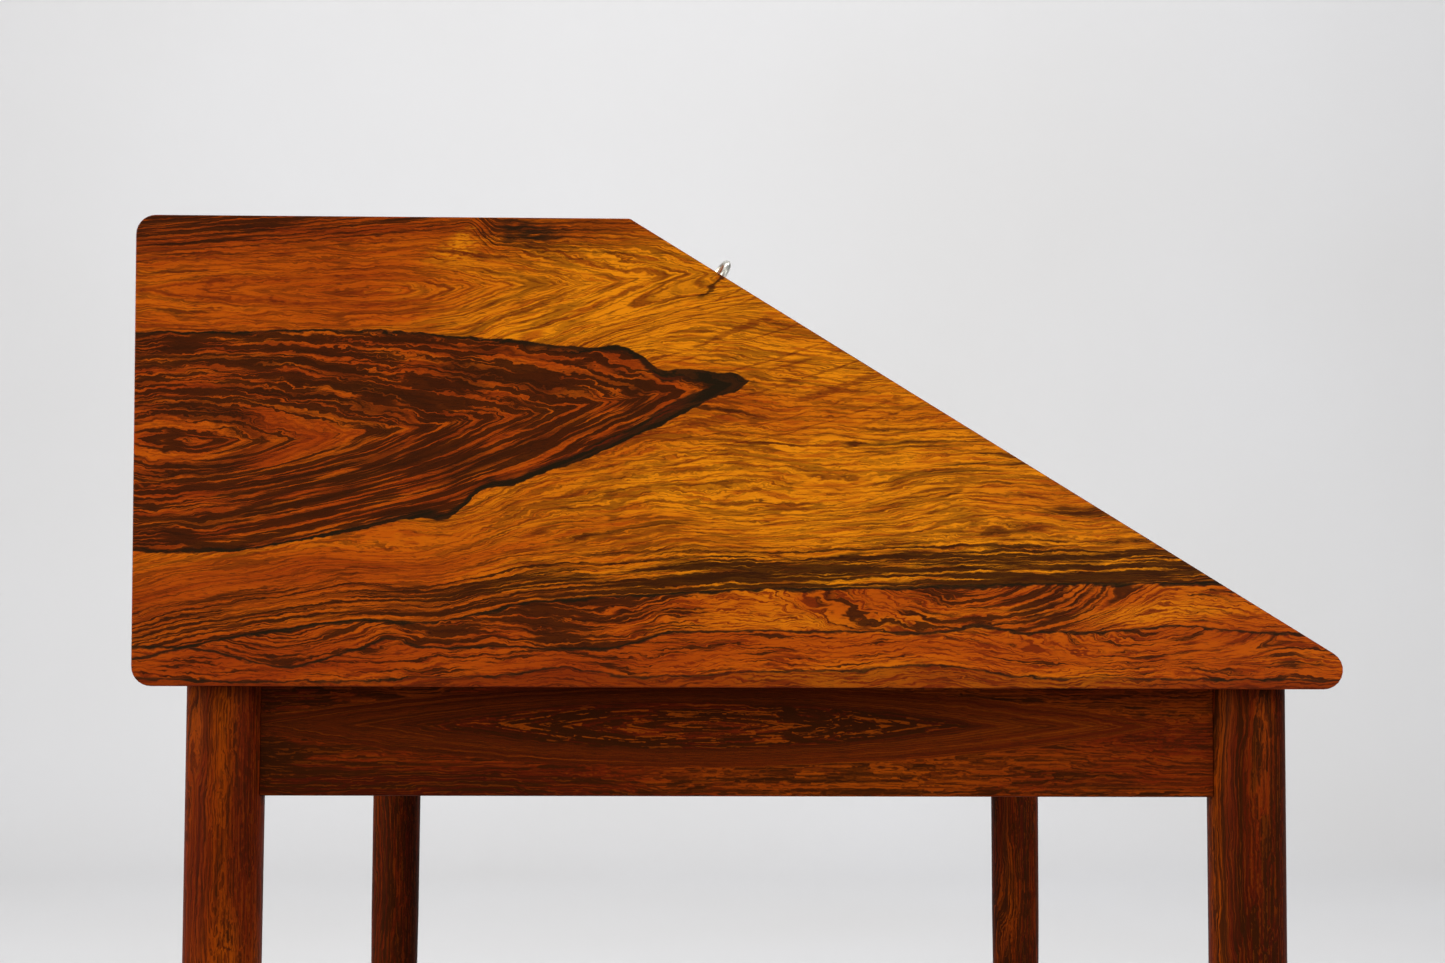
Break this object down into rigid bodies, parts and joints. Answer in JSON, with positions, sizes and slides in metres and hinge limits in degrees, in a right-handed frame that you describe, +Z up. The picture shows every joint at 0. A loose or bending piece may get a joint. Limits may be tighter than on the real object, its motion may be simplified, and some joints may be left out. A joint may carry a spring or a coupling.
{
  "type": "slant-front writing desk",
  "caption": "Slant-front writing desk with a locking fall flap, pigeonholes and small drawers, on a stand with round legs and pull-out supports for the open flap.",
  "frame": {"origin": "on the floor, under the middle of the desk's bounding box", "axes": "+Z up, +X towards the user's right, -Y towards the user, who faces the sloping flap"},
  "size_m": [0.8, 0.56, 0.9368],
  "materials": {
    "rosewood_veneer": "satin lacquered golden-brown rosewood veneer with dark figure",
    "rosewood_solid": "satin lacquered red-brown solid rosewood",
    "maple": "pale maple, satin",
    "beech": "beech, matt",
    "brass": "lightly aged brass",
    "steel": "plain steel",
    "nylon": "dark nylon"
  },
  "bodies": {
    "root": {"apron_back": "rosewood_solid", "apron_front": "rosewood_solid", "apron_left": "rosewood_solid", "apron_right": "rosewood_solid", "back_panel": "rosewood_veneer", "bottom_board": "rosewood_veneer", "corner_brace_back_left": "beech", "corner_brace_back_right": "beech", "corner_brace_front_left": "beech", "corner_brace_front_right": "beech", "drawer_divider_left": "maple", "drawer_divider_right": "maple", "flap_stop_left": "beech", "flap_stop_right": "beech", "foot_glide_back_left": "nylon", "foot_glide_back_right": "nylon", "foot_glide_front_left": "nylon", "foot_glide_front_right": "nylon", "hinge_pin_left": "brass", "hinge_pin_right": "brass", "leg_back_left": "rosewood_solid", "leg_back_right": "rosewood_solid", "leg_front_left": "rosewood_solid", "leg_front_right": "rosewood_solid", "letter_shelf": "maple", "loper_guide_left": "beech", "loper_guide_right": "beech", "organizer_shelf": "maple", "organizer_side_left": "maple", "organizer_side_right": "maple", "pigeonhole_divider_1": "maple", "pigeonhole_divider_2": "maple", "pigeonhole_divider_3": "maple", "pigeonhole_divider_4": "maple", "side_panel_left": "rosewood_veneer", "side_panel_right": "rosewood_veneer", "strike_plate": "brass", "top_board": "rosewood_veneer"},
    "flap": {"flap_board": "rosewood_veneer", "lock_body": "brass", "escutcheon": "brass"},
    "key": {"key": "brass"},
    "bolt": {"lock_bolt": "steel"},
    "loper_slide_bar_left": {"loper_left": "rosewood_solid", "loper_knob_left": "rosewood_solid"},
    "small_drawer_left": {"drawer_left_back": "beech", "drawer_left_bottom": "beech", "drawer_left_front": "rosewood_solid", "drawer_left_knob": "brass", "drawer_left_wall_left": "beech", "drawer_left_wall_right": "beech"},
    "loper_slide_bar_right": {"loper_right": "rosewood_solid", "loper_knob_right": "rosewood_solid"},
    "small_drawer_right": {"drawer_right_back": "beech", "drawer_right_bottom": "beech", "drawer_right_front": "rosewood_solid", "drawer_right_knob": "brass", "drawer_right_wall_left": "beech", "drawer_right_wall_right": "beech"}
  },
  "joints": [
    {"name": "flap_hinge", "type": "hinge", "parent": "root", "child": "flap", "pos_m": [0, -0.271, 0.699], "axis": [1, 0, 0], "range_deg": [0, 148.6]},
    {"name": "key_turn", "type": "hinge", "parent": "flap", "child": "key", "pos_m": [0, 0.0286, 0.88187], "axis": [0, -0.521, 0.8536], "range_deg": [0, 90]},
    {"name": "bolt_throw", "type": "slide", "parent": "flap", "child": "bolt", "axis": [0, 0.8536, 0.521], "range_m": [0, 0.006]},
    {"name": "loper_left_slide", "type": "slide", "parent": "root", "child": "loper_slide_bar_left", "axis": [0, -1, 0], "range_m": [0, 0.25]},
    {"name": "loper_right_slide", "type": "slide", "parent": "root", "child": "loper_slide_bar_right", "axis": [0, -1, 0], "range_m": [0, 0.25]},
    {"name": "drawer_left_slide", "type": "slide", "parent": "root", "child": "small_drawer_left", "axis": [0, -1, 0], "range_m": [0, 0.15]},
    {"name": "drawer_right_slide", "type": "slide", "parent": "root", "child": "small_drawer_right", "axis": [0, -1, 0], "range_m": [0, 0.15]}
  ],
  "couplings": [
    {"joint": "bolt_throw", "follows": "key_turn", "m_per_rad": 0.0038}
  ]
}
